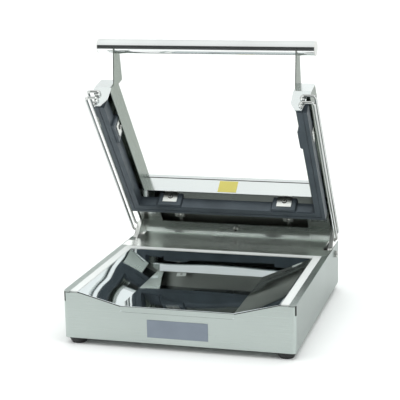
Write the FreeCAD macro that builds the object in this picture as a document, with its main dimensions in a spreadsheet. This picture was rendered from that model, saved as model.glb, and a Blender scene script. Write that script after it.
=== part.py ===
import FreeCAD, Part
import math
import os
import re
import Sketcher

# A table-top sealer for paper bags.  A stainless base carries a shallow polished pan with a
# white pressure strip round three of its sides.  A U-shaped sealing head hinges at the rear
# of the base and carries the heated casting that closes on the strip.
#
# Everything is drawn with x to the right, y to the rear from the base's front face and z up
# from the base's lower edge.  The head is drawn closed, and its placement then opens it.
# Millimetres and degrees throughout.

SIZES = {
    # Base casing
    "base_width": 380.0,
    "base_depth": 390.0,
    "body_height": 78.0,
    "panel_sheet": 1.5,
    "corner_bend": 6.0,
    "fit_gap": 0.2,
    "side_flange_width": 11.0,
    "side_flange_setback": 103.0,
    "front_drop": 2.1,
    "slit_width": 1.6,
    "slit_depth": 17.0,
    "vent_length": 60.0,
    "vent_width": 5.0,
    "vent_pitch": 14.0,
    # Pressure strip and its carrier
    "strip_width": 13.0,
    "strip_depth": 6.0,
    "strip_front": 3.0,
    "carrier_sheet": 1.2,
    "deck_depth": 108.0,
    # Polished pan
    "pan_sheet": 1.2,
    "pan_side_land": 2.0,
    "pan_rear_land": 6.0,
    "pan_floor_width": 186.0,
    "pan_floor_length": 198.0,
    "pan_drop": 18.0,
    "pan_lip": 10.0,
    "pan_gap": 0.6,
    # Name plate on the front
    "plate_width": 100.0,
    "plate_height": 29.0,
    "plate_rise": 10.0,
    "plate_sheet": 0.8,
    # Feet
    "foot_top_radius": 16.0,
    "foot_base_radius": 11.5,
    "foot_height": 11.0,
    "foot_inset_x": 18.0,
    "foot_inset_y": 17.0,
    "foot_screw_radius": 2.5,
    "foot_recess_radius": 6.0,
    "foot_recess_depth": 4.5,
    "foot_screw_head": 4.5,
    # Hinge
    "pivot_setback": 33.0,
    "pivot_drop": 16.0,
    "open_angle": 51.5,
    "pivot_radius": 4.0,
    "pivot_head_radius": 6.0,
    "pivot_head_height": 3.5,
    "pivot_nut_radius": 7.0,
    "pivot_nut_height": 6.0,
    "running_gap": 0.06,
    "end_gap": 0.3,
    "bush_radius": 6.5,
    "bush_flange_radius": 9.0,
    "bush_flange": 2.0,
    "bracket_inset": 30.0,
    "bracket_sheet": 2.5,
    "bracket_width": 46.0,
    "bracket_foot": 14.0,
    "cheek_sheet": 2.5,
    "cheek_radius": 19.0,
    "cheek_flange": 5.0,
    "cheek_shoulder": 8.0,
    "slot_width": 14.5,
    "slot_setback": 68.0,
    "slot_floor": 6.0,
    "coil_radius": 12.6,
    "coil_wire_radius": 1.5,
    "coil_pitch": 3.4,
    "coil_turns": 4.0,
    "coil_leg": 16.0,
    # Head casing
    "head_inset": 7.0,
    "arm_width": 29.0,
    "head_rise": 62.4,
    "arm_rise": 24.4,
    "cover_rise": 22.0,
    "arm_nose": 14.5,
    "nose_rise": 31.5,
    "end_plate_drop": 9.0,
    "end_plate_tip": 10.0,
    "end_plate_taper": 17.0,
    "beam_setback": 144.0,
    "beam_bevel": 7.0,
    "hood_front_setback": 99.0,
    "hood_rear_setback": 14.0,
    "hood_rear_rise": 30.0,
    "cavity_margin": 45.0,
    "cavity_setback": 107.0,
    "cross_front_setback": 55.0,
    "cross_rear_setback": 23.0,
    "cross_screw_radius": 2.5,
    "cross_head_radius": 4.5,
    "cross_head_height": 2.2,
    "patch_width": 34.0,
    "patch_height": 25.0,
    "patch_sheet": 0.4,
    "patch_rise": 2.6,
    # Heated casting
    "heater_gap": 0.3,
    "heater_width": 17.0,
    "heater_height": 22.0,
    "heater_setback": 2.5,
    "face_groove": 1.2,
    "face_groove_inset": 7.5,
    "element_radius": 4.0,
    "element_gap": 0.1,
    "element_front": 16.0,
    "element_bend": 12.0,
    "terminal_radius": 3.0,
    "terminal_length": 8.0,
    "boss_reach": 6.0,
    "arm_boss_reach": 5.0,
    "boss_length": 44.0,
    "boss_rise": 28.0,
    "boss_foot": 1.5,
    "boss_round": 3.0,
    "rear_boss_place": 105.0,
    "arm_boss_place": 68.0,
    "block_length": 164.0,
    "block_rise": 19.0,
    "end_block_rise": 13.0,
    "end_block_length": 27.0,
    "block_reach": 1.8,
    "clip_width": 26.0,
    "clip_sheet": 1.0,
    "clip_drop": 20.0,
    "clip_screw_rise": 19.5,
    "clip_screw_radius": 2.0,
    "clip_screw_length": 8.0,
    "clip_head_radius": 3.4,
    "clip_head_height": 1.8,
    "hanger_radius": 4.0,
    # Handle
    "handle_overhang": 2.5,
    "handle_radius": 12.25,
    "handle_wall": 1.5,
    "handle_reach": 46.0,
    "handle_rise": 98.0,
    "handle_cap": 1.6,
    "handle_plug": 10.0,
    "strut_top_width": 28.0,
    "strut_front_foot": 18.0,
    "strut_rear_foot": 24.0,
    "strut_drop": 59.0,
    "strut_neck": 8.0,
    # Guard rods beside the heated casting
    "rod_radius": 2.25,
    "rod_gap": 0.05,
    "rod_offset": 2.0,
    "rod_upper_rise": 20.3,
    "rod_lower_rise": 5.6,
    "rod_bend": 6.0,
    "rod_hook_bend": 4.6,
    "rod_hook_drop": 9.5,
    "rod_hook_reach": 22.0,
    "rod_hook_tail": 6.0,
    # Controls on the rear panel
    "control_height": 38.0,
    "switch_inset": 70.0,
    "switch_width": 13.0,
    "switch_height": 19.0,
    "switch_depth": 20.0,
    "switch_rim": 2.0,
    "rocker_gap": 0.5,
    "rocker_crown": 3.0,
    "rocker_tilt": 8.0,
    "rocker_pivot": 5.0,
    "rocker_pin": 1.5,
    "knob_place": 60.0,
    "knob_radius": 17.0,
    "knob_height": 14.0,
    "knob_shaft_radius": 3.0,
    "thermostat_width": 34.0,
    "thermostat_depth": 28.0,
    "gland_inset": 65.0,
    "gland_radius": 9.0,
    "gland_length": 13.0,
    "gland_bore": 3.5,
    "block_size": 30.0,
}

# Places that several sub-parts share, worked out from the sizes
PLACES = {
    "head_width": "base_width - head_inset * 2",
    "handle_length": "head_width + handle_overhang * 2",
    "cavity_width": "head_width - cavity_margin * 2",
    "side_flange_end": "base_depth - side_flange_setback",
    "slot_front": "base_depth - slot_setback",
    "beam_front": "base_depth - beam_setback",
    "hood_front": "base_depth - hood_front_setback",
    "hood_rear": "base_depth - hood_rear_setback",
    "cavity_front": "base_depth - cavity_setback",
    "cross_front": "base_depth - cross_front_setback",
    "cross_rear": "base_depth - cross_rear_setback",
    "switch_place": "base_width / 2 - switch_inset",
    "gland_place": "base_width / 2 - gland_inset",
    "side_inner": "base_width / 2 - panel_sheet",
    "strip_outer": "base_width / 2 - side_flange_width",
    "strip_inner": "strip_outer - strip_width",
    "strip_rear": "base_depth - deck_depth",
    "strip_seat": "body_height - strip_depth",
    "pan_half": "strip_inner - pan_side_land",
    "pan_rear": "strip_rear - strip_width - pan_rear_land",
    "pan_floor": "body_height - pan_drop",
    "pan_floor_half": "pan_floor_width / 2",
    "deck_half": "side_inner - slot_width",
    "deck_under": "body_height - panel_sheet",
    "pivot_y": "base_depth - pivot_setback",
    "pivot_z": "body_height - pivot_drop",
    "bracket_outer": "base_width / 2 - bracket_inset",
    "cheek_outer": "head_width / 2 - panel_sheet",
    "cheek_inner": "cheek_outer - cheek_sheet",
    "wall_outer": "head_width / 2 - arm_width + panel_sheet",
    "wall_inner": "head_width / 2 - arm_width",
    "cover_inner": "head_width / 2 - panel_sheet",
    "head_top": "body_height + head_rise",
    "arm_low": "body_height + arm_rise",
    "cover_low": "body_height + cover_rise",
    "nose_z": "body_height + nose_rise",
    "heater_low": "body_height + heater_gap",
    "heater_top": "body_height + heater_height",
    "heater_rear": "strip_rear - heater_setback",
    "heater_inner": "strip_outer - heater_width",
    "boss_top": "body_height + boss_rise",
    "bar_middle": "strip_outer - heater_width / 2",
    "bar_middle_rear": "heater_rear - heater_width / 2",
    "handle_z": "body_height + handle_rise",
    "rod_x": "base_width / 2 + rod_offset",
    "rear_lean": "(hood_rear - pivot_y) * cos(open_angle * 1 deg)",
    "rear_swing": "(body_height + hood_rear_rise - pivot_z) * sin(open_angle * 1 deg)",
    "origin_y": "(pivot_y + rear_lean + rear_swing - pan_sheet) / 2",
    "rocker_y": "base_depth - rocker_pivot",
}

doc = FreeCAD.newDocument("bag_sealer")
sheet = doc.addObject("Spreadsheet::Sheet", "Sizes")


def fill_sheet():
    """Write the sizes as plain numbers and the places as formulas, each with its alias."""
    row = 0
    for alias, number in SIZES.items():
        row += 1
        sheet.set("A%d" % row, alias)
        sheet.set("B%d" % row, str(number))
        sheet.setAlias("B%d" % row, alias)
    for alias, formula in PLACES.items():
        row += 1
        sheet.set("A%d" % row, alias)
        sheet.set("B%d" % row, "=" + formula)
        sheet.setAlias("B%d" % row, alias)
    doc.recompute()


def size(alias):
    """The number that the sheet holds under an alias."""
    return float(getattr(sheet, alias))


def ref(formula):
    """The formula with each alias pointed at the sheet."""
    def point(match):
        word = match.group(0)
        known = word in SIZES or word in PLACES
        return "Sizes." + word if known else word
    return re.sub(r"[a-z][a-z_]*", point, str(formula))


def bind(thing, prop, formula):
    thing.setExpression(prop, ref(formula))


# Placing

def place_on_base(thing):
    """The row frame has its origin on the table, under the middle of the machine."""
    bind(thing, "Placement.Base.y", "-origin_y")
    bind(thing, "Placement.Base.z", "foot_height")


def place_turned(thing, at_y, at_z, angle):
    """Turn a piece about a cross axis by an angle, front upwards, and shift it as the base is."""
    thing.Placement = FreeCAD.Placement(FreeCAD.Vector(), FreeCAD.Rotation(FreeCAD.Vector(1, 0, 0), -1))
    turn = {"y": at_y, "z": at_z, "a": angle}
    turned_y = "%(y)s * cos(%(a)s * 1 deg) + %(z)s * sin(%(a)s * 1 deg)" % turn
    turned_z = "%(z)s * cos(%(a)s * 1 deg) - %(y)s * sin(%(a)s * 1 deg)" % turn
    bind(thing, "Placement.Base.y", "-origin_y + %s - (%s)" % (at_y, turned_y))
    bind(thing, "Placement.Base.z", "foot_height + %s - (%s)" % (at_z, turned_z))
    bind(thing, "Placement.Rotation.Angle", "-" + angle)


def place_on_head(thing):
    place_turned(thing, "pivot_y", "pivot_z", "open_angle")


def place_on_rocker(thing):
    place_turned(thing, "rocker_y", "control_height", "rocker_tilt")


NODES = {}


def keep(thing, label, place):
    """Name a finished sub-part and put it on the base or the head."""
    thing.Label = label
    place(thing)
    NODES[label] = thing
    return thing


# Sketches and features

def origin_plane(body, plane):
    for feature in body.Origin.OriginFeatures:
        if feature.Role == plane + "_Plane":
            return feature
    raise RuntimeError("no plane " + plane)


def draw_outline(drawing, corners):
    """A closed outline whose corners are tied to formulas, across and up in the sketch."""
    first = drawing.GeometryCount
    count = len(corners)
    spots = []
    for k in range(count):
        turn = 2 * math.pi * k / count
        spots.append(FreeCAD.Vector(20 * math.cos(turn), 20 * math.sin(turn), 0))
    for k in range(count):
        drawing.addGeometry(Part.LineSegment(spots[k], spots[(k + 1) % count]), False)
    for k in range(count):
        drawing.addConstraint(Sketcher.Constraint("Coincident", first + k, 2, first + (k + 1) % count, 1))
    for k, (across, up) in enumerate(corners):
        for kind, formula, start in (("DistanceX", across, spots[k].x), ("DistanceY", up, spots[k].y)):
            index = drawing.addConstraint(Sketcher.Constraint(kind, -1, 1, first + k, 1, start))
            bind(drawing, "Constraints[%d]" % index, formula)


def draw_circle(drawing, across, up, radius):
    """A circle whose centre and radius are tied to formulas."""
    circle = Part.Circle(FreeCAD.Vector(1, 1, 0), FreeCAD.Vector(0, 0, 1), 1)
    index = drawing.addGeometry(circle, False)
    for kind, formula in (("DistanceX", across), ("DistanceY", up)):
        place = drawing.addConstraint(Sketcher.Constraint(kind, -1, 1, index, 3, 1))
        bind(drawing, "Constraints[%d]" % place, formula)
    girth = drawing.addConstraint(Sketcher.Constraint("Radius", index, 1))
    bind(drawing, "Constraints[%d]" % girth, radius)


def sketch(body, plane, start, outlines=(), circles=()):
    """A sketch on one of the body's planes, moved along that plane's world axis to start."""
    drawing = body.newObject("Sketcher::SketchObject", "Sketch")
    drawing.AttachmentSupport = (origin_plane(body, plane), [""])
    drawing.MapMode = "FlatFace"
    sign = -1 if plane == "XZ" else 1
    bind(drawing, "AttachmentOffset.Base.z", "%d * (%s)" % (sign, start))
    for corners in outlines:
        draw_outline(drawing, corners)
    for across, up, radius in circles:
        draw_circle(drawing, across, up, radius)
    return drawing


def pad(body, plane, start, length, outlines=(), circles=()):
    """Add material from start for a length, towards the plane's positive world axis."""
    feature = body.newObject("PartDesign::Pad", "Pad")
    feature.Profile = sketch(body, plane, start, outlines, circles)
    bind(feature, "Length", length)
    feature.Reversed = plane == "XZ"
    return feature


def cut(body, plane, start, length, outlines=(), circles=()):
    """Take material away from start for a length, towards the plane's positive world axis."""
    feature = body.newObject("PartDesign::Pocket", "Pocket")
    feature.Profile = sketch(body, plane, start, outlines, circles)
    bind(feature, "Length", length)
    feature.Reversed = plane != "XZ"
    return feature


def new_body():
    return doc.addObject("PartDesign::Body", "Body")


def box(low_x, high_x, low_y, high_y):
    """The four corners of an upright rectangle."""
    return [(low_x, low_y), (high_x, low_y), (high_x, high_y), (low_x, high_y)]


def mirror_outline(corners):
    return [("-(%s)" % across, up) for across, up in corners]


def both_sides(corners):
    """An outline on the right side and its mirror image on the left."""
    return [corners, mirror_outline(corners)]


def span(side, inner, outer):
    """Start and length of a stretch of x on one side of the machine."""
    start = inner if side > 0 else "-(%s)" % outer
    return start, "(%s) - (%s)" % (outer, inner)


def span_ends(side, inner, outer):
    """Both ends of such a stretch, the lower x first."""
    start, length = span(side, inner, outer)
    return start, "%s + %s" % (start, length)


SIDES = {"left": -1, "right": 1}


# Round and bent pieces

def bent_path(corners, bends):
    """A wire of straight runs joined by tangent arcs, one bend radius for each inner corner."""
    edges = []
    here = corners[0]
    for k in range(1, len(corners) - 1):
        corner = corners[k]
        bend = bends[k - 1]
        back = (corners[k - 1] - corner).normalize()
        ahead = (corners[k + 1] - corner).normalize()
        half = back.getAngle(ahead) / 2
        reach = bend / math.tan(half)
        middle = (back + ahead).normalize()
        centre = corner + middle * (bend / math.sin(half))
        enter = corner + back * reach
        leave = corner + ahead * reach
        crown = centre - middle * bend
        edges.append(Part.LineSegment(here, enter).toShape())
        edges.append(Part.Arc(enter, crown, leave).toShape())
        here = leave
    edges.append(Part.LineSegment(here, corners[-1]).toShape())
    return Part.Wire(edges)


def rod_along(path, radius):
    """A round rod swept along a path."""
    start = path.Edges[0]
    direction = start.tangentAt(start.FirstParameter)
    ring = Part.Wire([Part.makeCircle(radius, start.valueAt(start.FirstParameter), direction)])
    return path.makePipeShell([ring], True, True)


def set_shape(label, shape, place):
    thing = doc.addObject("Part::Feature", "Feature")
    thing.Shape = shape
    return keep(thing, label, place)


def turned_piece(label, place, profile, at, axis):
    """A body of revolution; profile is (along, radius) and axis the world axis through at."""
    body = new_body()
    drawing = body.newObject("Sketcher::SketchObject", "Sketch")
    plane = {"x": "XY", "y": "XY", "z": "XZ"}[axis]
    drawing.AttachmentSupport = (origin_plane(body, plane), [""])
    drawing.MapMode = "FlatFace"
    if axis == "x":
        bind(drawing, "AttachmentOffset.Base.y", at[1])
        bind(drawing, "AttachmentOffset.Base.z", at[2])
        corners = [("%s + %s" % (at[0], along), radius) for along, radius in profile]
        reference = "H_Axis"
    if axis == "y":
        bind(drawing, "AttachmentOffset.Base.x", at[0])
        bind(drawing, "AttachmentOffset.Base.z", at[2])
        corners = [(radius, "%s + %s" % (at[1], along)) for along, radius in profile]
        reference = "V_Axis"
    if axis == "z":
        bind(drawing, "AttachmentOffset.Base.x", at[0])
        bind(drawing, "AttachmentOffset.Base.z", "-(%s)" % at[1])
        corners = [(radius, "%s + %s" % (at[2], along)) for along, radius in profile]
        reference = "V_Axis"
    draw_outline(drawing, corners)
    feature = body.newObject("PartDesign::Revolution", "Revolution")
    feature.Profile = drawing
    feature.ReferenceAxis = (drawing, [reference])
    feature.Angle = 360
    return keep(body, label, place)


def group(label, place, pieces):
    """Identical fasteners as one node of separate solids."""
    bundle = doc.addObject("Part::Compound", "Compound")
    bundle.Links = pieces
    return keep(bundle, label, place)


def cylinder(axis, at, radius, length):
    """A plain cylinder from a point along one world axis."""
    turns = {"x": FreeCAD.Rotation(FreeCAD.Vector(0, 1, 0), 90),
             "y": FreeCAD.Rotation(FreeCAD.Vector(1, 0, 0), -90),
             "z": FreeCAD.Rotation()}
    thing = doc.addObject("Part::Cylinder", "Cylinder")
    thing.Placement = FreeCAD.Placement(FreeCAD.Vector(), turns[axis])
    bind(thing, "Radius", radius)
    bind(thing, "Height", length)
    for letter, formula in zip("xyz", at):
        bind(thing, "Placement.Base." + letter, formula)
    return thing


def fuse(pieces):
    joined = doc.addObject("Part::MultiFuse", "Fusion")
    joined.Shapes = pieces
    return joined


# Base casing

def make_base_casing():
    """Front and both sides in one wrapped sheet; each side's top flange runs forward over the front."""
    body = new_body()
    half = "base_width / 2"
    depth = "base_depth"
    skin = "panel_sheet"
    wrap = [("-" + half, depth), ("-" + half, "0"), (half, "0"), (half, depth),
            ("side_inner", depth), ("side_inner", skin), ("-side_inner", skin), ("-side_inner", depth)]
    walls = pad(body, "XY", "0", "body_height", [wrap])
    doc.recompute()
    corners = [("Edge%d" % (k + 1)) for k, edge in enumerate(walls.Shape.Edges) if front_corner(edge)]
    bend = body.newObject("PartDesign::Fillet", "Bend")
    bend.Base = (walls, corners)
    bind(bend, "Radius", "corner_bend")
    front_top = box("-%s - 1" % half, half + " + 1", "-1", "corner_bend")
    cut(body, "XY", "body_height - front_drop", "front_drop + 1", [front_top])
    flange = [("strip_outer", "0"), (half + " - corner_bend", "0"),
              (half + " - corner_bend * 0.29", "corner_bend * 0.29"), (half, "corner_bend"),
              (half, "corner_bend * 1.5"), ("side_inner", "corner_bend * 1.5"),
              ("side_inner", "side_flange_end"), ("strip_outer", "side_flange_end")]
    pad(body, "XY", "deck_under", "panel_sheet", both_sides(flange))
    rim = "pan_half + pan_sheet"
    low = "pan_floor - pan_sheet - pan_gap"
    slope = [("-(%s)" % rim, "body_height - pan_gap"), ("-pan_floor_half", low), ("pan_floor_half", low),
             (rim, "body_height - pan_gap"), (rim, "body_height + 1"), ("-(%s)" % rim, "body_height + 1")]
    cut(body, "XZ", "-1", "panel_sheet + 2", [slope])
    slit = box("side_inner - 0.5", "base_width / 2 + 1", "corner_bend - slit_width", "corner_bend")
    cut(body, "XY", "body_height - slit_depth", "slit_depth - front_drop", both_sides(slit))
    cut(body, "YZ", "-base_width / 2 - 1", "base_width + 2",
        circles=[("pivot_y", "pivot_z", "pivot_radius + fit_gap")])
    return keep(body, "base_casing", place_on_base)


def front_corner(edge):
    """True for the four upright edges where the front meets the sides."""
    ends = [vertex.Point for vertex in edge.Vertexes]
    upright = abs(ends[0].z - ends[-1].z) > size("body_height") / 2
    near_front = ends[0].y < size("panel_sheet") + 0.01
    near_side = abs(ends[0].x) > size("side_inner") - 0.01
    return upright and near_front and near_side and abs(ends[0].x - ends[-1].x) < 0.01


def make_bottom_plate():
    """The floor of the base, with two rows of vent slots and the foot screws' holes."""
    body = new_body()
    edge_x = "side_inner - fit_gap"
    edge_y = "base_depth - panel_sheet - fit_gap"
    pad(body, "XY", "0", "panel_sheet", [box("-(%s)" % edge_x, edge_x, "corner_bend", edge_y)])
    slots = []
    for k in range(6):
        near = "base_depth / 2 + %d * vent_pitch" % (k - 3)
        slot = box("vent_length / 2", "vent_length * 3 / 2", near, near + " + vent_width")
        slots.extend(both_sides(slot))
    cut(body, "XY", "-1", "panel_sheet + 2", slots)
    cut(body, "XY", "-1", "panel_sheet + 2", circles=foot_circles("foot_screw_radius"))
    return keep(body, "bottom_plate", place_on_base)


def foot_places():
    across = "(base_width / 2 - foot_inset_x)"
    front = "foot_inset_y"
    rear = "(base_depth - foot_inset_y)"
    return {"front_left": ("-" + across, front), "front_right": (across, front),
            "rear_left": ("-" + across, rear), "rear_right": (across, rear)}


def foot_circles(radius):
    return [(x, y, radius) for x, y in foot_places().values()]


def make_feet():
    """Tapered rubber feet, each held by a screw that sits up in a recess."""
    profile = [("-foot_height", "foot_recess_radius"), ("-foot_height", "foot_base_radius"),
               ("-foot_height * 0.25", "foot_top_radius"), ("0", "foot_top_radius"),
               ("0", "foot_screw_radius"),
               ("foot_recess_depth - foot_height", "foot_screw_radius"),
               ("foot_recess_depth - foot_height", "foot_recess_radius")]
    screws = []
    for name, (x, y) in foot_places().items():
        turned_piece("foot_" + name, place_on_base, profile, (x, y, "0"), "z")
        head = cylinder("z", (x, y, "foot_recess_depth - foot_height - 3"), "foot_screw_head", "3")
        shank = cylinder("z", (x, y, "foot_recess_depth - foot_height"), "foot_screw_radius",
                         "foot_height - foot_recess_depth + panel_sheet")
        nut = cylinder("z", (x, y, "panel_sheet"), "foot_screw_head", "3")
        screws.append(fuse([head, shank, nut]))
    group("foot_screws", place_on_base, screws)


def make_rear_panel():
    """The rear closing panel, cut for the controls and notched where the cheeks swing."""
    body = new_body()
    edge = "side_inner - fit_gap"
    low = "pivot_z - slot_floor"
    outline = [("-(%s)" % edge, "0"), (edge, "0"), (edge, low), ("deck_half", low),
               ("deck_half", "deck_under"), ("-deck_half", "deck_under"), ("-deck_half", low),
               ("-(%s)" % edge, low)]
    pad(body, "XZ", "base_depth - panel_sheet", "panel_sheet", [outline])
    opening = box("switch_place - switch_width / 2", "switch_place + switch_width / 2",
                  "control_height - switch_height / 2", "control_height + switch_height / 2")
    holes = [("knob_place", "control_height", "knob_shaft_radius + 1"),
             ("-gland_place", "control_height", "gland_radius - 2")]
    cut(body, "XZ", "base_depth - panel_sheet - 1", "panel_sheet + 2", [opening], holes)
    return keep(body, "rear_panel", place_on_base)


def make_rear_deck():
    """The polished deck behind the strip, open at both sides for the cheeks."""
    body = new_body()
    front = "strip_rear + carrier_sheet"
    shoulder = "side_flange_end + fit_gap"
    outline = [("-deck_half", "base_depth"), ("-deck_half", "slot_front"),
               ("-side_inner + fit_gap", "slot_front"), ("-side_inner + fit_gap", shoulder),
               ("-strip_outer + fit_gap", shoulder), ("-strip_outer + fit_gap", front),
               ("strip_outer - fit_gap", front), ("strip_outer - fit_gap", shoulder),
               ("side_inner - fit_gap", shoulder), ("side_inner - fit_gap", "slot_front"),
               ("deck_half", "slot_front"), ("deck_half", "base_depth")]
    pad(body, "XY", "deck_under", "panel_sheet", [outline])
    return keep(body, "rear_deck", place_on_base)


def loft(body, kind, low_z, low, high_z, high):
    """A loft between two rectangles at two heights; each is (half width, front, rear)."""
    sections = []
    for level, (half, front, rear) in ((low_z, low), (high_z, high)):
        corners = box("-(%s)" % half, half, front, rear)
        sections.append(sketch(body, "XY", level, [corners]))
    feature = body.newObject("PartDesign::" + kind, "Loft")
    feature.Profile = sections[0]
    feature.Sections = [sections[1]]
    feature.Ruled = True
    return feature


def make_pan():
    """The shallow polished pan: a flat floor, sloping sides and rear, open to the front."""
    body = new_body()
    loft(body, "AdditiveLoft", "pan_floor - pan_sheet", ("pan_floor_half", "0", "pan_floor_length"),
         "body_height", ("pan_half + pan_sheet", "0", "pan_rear + pan_sheet"))
    loft(body, "SubtractiveLoft", "pan_floor", ("pan_floor_half", "-1", "pan_floor_length"),
         "body_height + 0.01", ("pan_half", "-1", "pan_rear"))
    lip = box("-pan_floor_half", "pan_floor_half", "pan_floor - pan_lip", "pan_floor")
    pad(body, "XZ", "-pan_sheet", "pan_sheet", [lip])
    return keep(body, "hopper_pan", place_on_base)


def strip_ring(inner, outer, rear_inner, rear_outer, front):
    """The plan of a U that opens to the front."""
    return [("-(%s)" % outer, front), ("-(%s)" % inner, front), ("-(%s)" % inner, rear_inner),
            (inner, rear_inner), (inner, front), (outer, front), (outer, rear_outer),
            ("-(%s)" % outer, rear_outer)]


def make_strips():
    """The carrier channel and the three lengths of white pressure strip in it."""
    body = new_body()
    inner_in = "strip_inner - carrier_sheet"
    outer_out = "strip_outer + carrier_sheet"
    rear_in = "strip_rear - strip_width - carrier_sheet"
    rear_out = "strip_rear + carrier_sheet"
    floor = strip_ring(inner_in, outer_out, rear_in, rear_out, "strip_front")
    pad(body, "XY", "strip_seat - carrier_sheet", "carrier_sheet", [floor])
    outer_wall = strip_ring("strip_outer", outer_out, "strip_rear", rear_out, "strip_front")
    pad(body, "XY", "strip_seat", "deck_under - strip_seat", [outer_wall])
    inner_wall = strip_ring(inner_in, "strip_inner", rear_in, "strip_rear - strip_width", "strip_front")
    pad(body, "XY", "strip_seat", "deck_under - strip_seat", [inner_wall])
    keep(body, "strip_carrier", place_on_base)
    for name, side in SIDES.items():
        strip = new_body()
        start, length = span(side, "strip_inner", "strip_outer")
        run = box(start, "%s + %s" % (start, length), "strip_front", "strip_rear - strip_width")
        pad(strip, "XY", "strip_seat", "strip_depth", [run])
        keep(strip, "seal_strip_" + name, place_on_base)
    rear = new_body()
    run = box("-strip_outer", "strip_outer", "strip_rear - strip_width", "strip_rear")
    pad(rear, "XY", "strip_seat", "strip_depth", [run])
    keep(rear, "seal_strip_rear", place_on_base)


def make_name_plate():
    body = new_body()
    outline = box("-plate_width / 2", "plate_width / 2", "plate_rise", "plate_rise + plate_height")
    pad(body, "XZ", "-plate_sheet", "plate_sheet", [outline])
    return keep(body, "name_plate", place_on_base)


# Hinge

def make_hinge():
    """Brackets, bolts, nuts, cheeks, bushes and return springs of the head's hinge."""
    bolts = []
    nuts = []
    for name, side in SIDES.items():
        make_bracket(name, side)
        make_cheek(name, side)
        make_bush(name, side)
        make_return_spring(name, side)
        start, length = span(side, "bracket_outer - bracket_sheet - pivot_nut_height", "base_width / 2")
        shank = cylinder("x", (start, "pivot_y", "pivot_z"), "pivot_radius", length)
        start, length = span(side, "base_width / 2", "base_width / 2 + pivot_head_height")
        head = cylinder("x", (start, "pivot_y", "pivot_z"), "pivot_head_radius", length)
        bolts.append(fuse([shank, head]))
        nuts.append(make_nut(side))
    group("pivot_bolts", place_on_base, bolts)
    group("pivot_nuts", place_on_base, nuts)


def make_nut(side):
    """A six-sided nut with the bolt's hole through it."""
    start, length = span(side, "bracket_outer - bracket_sheet - pivot_nut_height",
                         "bracket_outer - bracket_sheet")
    block = doc.addObject("Part::Prism", "Prism")
    block.Polygon = 6
    block.Placement = FreeCAD.Placement(FreeCAD.Vector(), FreeCAD.Rotation(FreeCAD.Vector(0, 1, 0), 90))
    bind(block, "Circumradius", "pivot_nut_radius")
    bind(block, "Height", length)
    bind(block, "Placement.Base.x", start)
    bind(block, "Placement.Base.y", "pivot_y")
    bind(block, "Placement.Base.z", "pivot_z")
    hole = cylinder("x", (start, "pivot_y", "pivot_z"), "pivot_radius", length)
    nut = doc.addObject("Part::Cut", "Nut")
    nut.Base = block
    nut.Tool = hole
    return nut


def make_bracket(name, side):
    """An upright plate on the floor of the base that carries the bolt's inner end."""
    body = new_body()
    start, length = span(side, "bracket_outer - bracket_sheet", "bracket_outer")
    upright = box("pivot_y - bracket_width / 2", "pivot_y + bracket_width / 2 - bracket_sheet * 2",
                  "panel_sheet", "deck_under - end_gap")
    pad(body, "YZ", start, length, [upright])
    start, length = span(side, "bracket_outer - bracket_foot", "bracket_outer")
    foot = box("pivot_y - bracket_width / 2", "pivot_y + bracket_width / 2 - bracket_sheet * 2",
               "panel_sheet", "panel_sheet + bracket_sheet")
    pad(body, "YZ", start, length, [foot])
    start, length = span(side, "bracket_outer - bracket_foot - 1", "bracket_outer + 1")
    cut(body, "YZ", start, length, circles=[("pivot_y", "pivot_z", "pivot_radius")])
    keep(body, "hinge_bracket_" + name, place_on_base)


def make_cheek(name, side):
    """The head's side plate at the pivot, with a front flange that holds the guard rods."""
    body = new_body()
    start, length = span(side, "cheek_inner", "cheek_outer")
    top = "arm_low + cheek_sheet * 3"
    plate = [("pivot_y - cheek_radius", "pivot_z"), ("pivot_y - cheek_radius", top),
             ("pivot_y + cheek_shoulder", top),
             ("hood_rear - panel_sheet - fit_gap", "arm_low + panel_sheet"),
             ("pivot_y + cheek_radius", "pivot_z")]
    pad(body, "YZ", start, length, [plate])
    pad(body, "YZ", start, length, circles=[("pivot_y", "pivot_z", "cheek_radius")])
    start, length = span(side, "cheek_outer", "cheek_outer + cheek_flange")
    flange = box("pivot_y - cheek_radius", "pivot_y - cheek_radius + cheek_sheet",
                 "pivot_z", "arm_low - end_gap")
    pad(body, "YZ", start, length, [flange])
    start, length = span(side, "cheek_inner - 1", "cheek_outer + cheek_flange + 1")
    cut(body, "YZ", start, length, circles=[("pivot_y", "pivot_z", "bush_radius")])
    keep(body, "hinge_cheek_" + name, place_on_head)


def make_bush(name, side):
    """A flanged bronze bush, fixed in the cheek and running on the bolt."""
    inner = "(bracket_outer + end_gap)"
    outer = "(side_inner - end_gap)"
    sign = "%d * " % side
    profile = [(sign + inner, "pivot_radius + running_gap"), (sign + inner, "bush_radius"),
               (sign + "(cheek_inner - bush_flange)", "bush_radius"),
               (sign + "(cheek_inner - bush_flange)", "bush_flange_radius"),
               (sign + "cheek_inner", "bush_flange_radius"), (sign + "cheek_inner", "bush_radius"),
               (sign + outer, "bush_radius"), (sign + outer, "pivot_radius + running_gap")]
    turned_piece("pivot_bush_" + name, place_on_head, profile, ("0", "pivot_y", "pivot_z"), "x")


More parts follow.
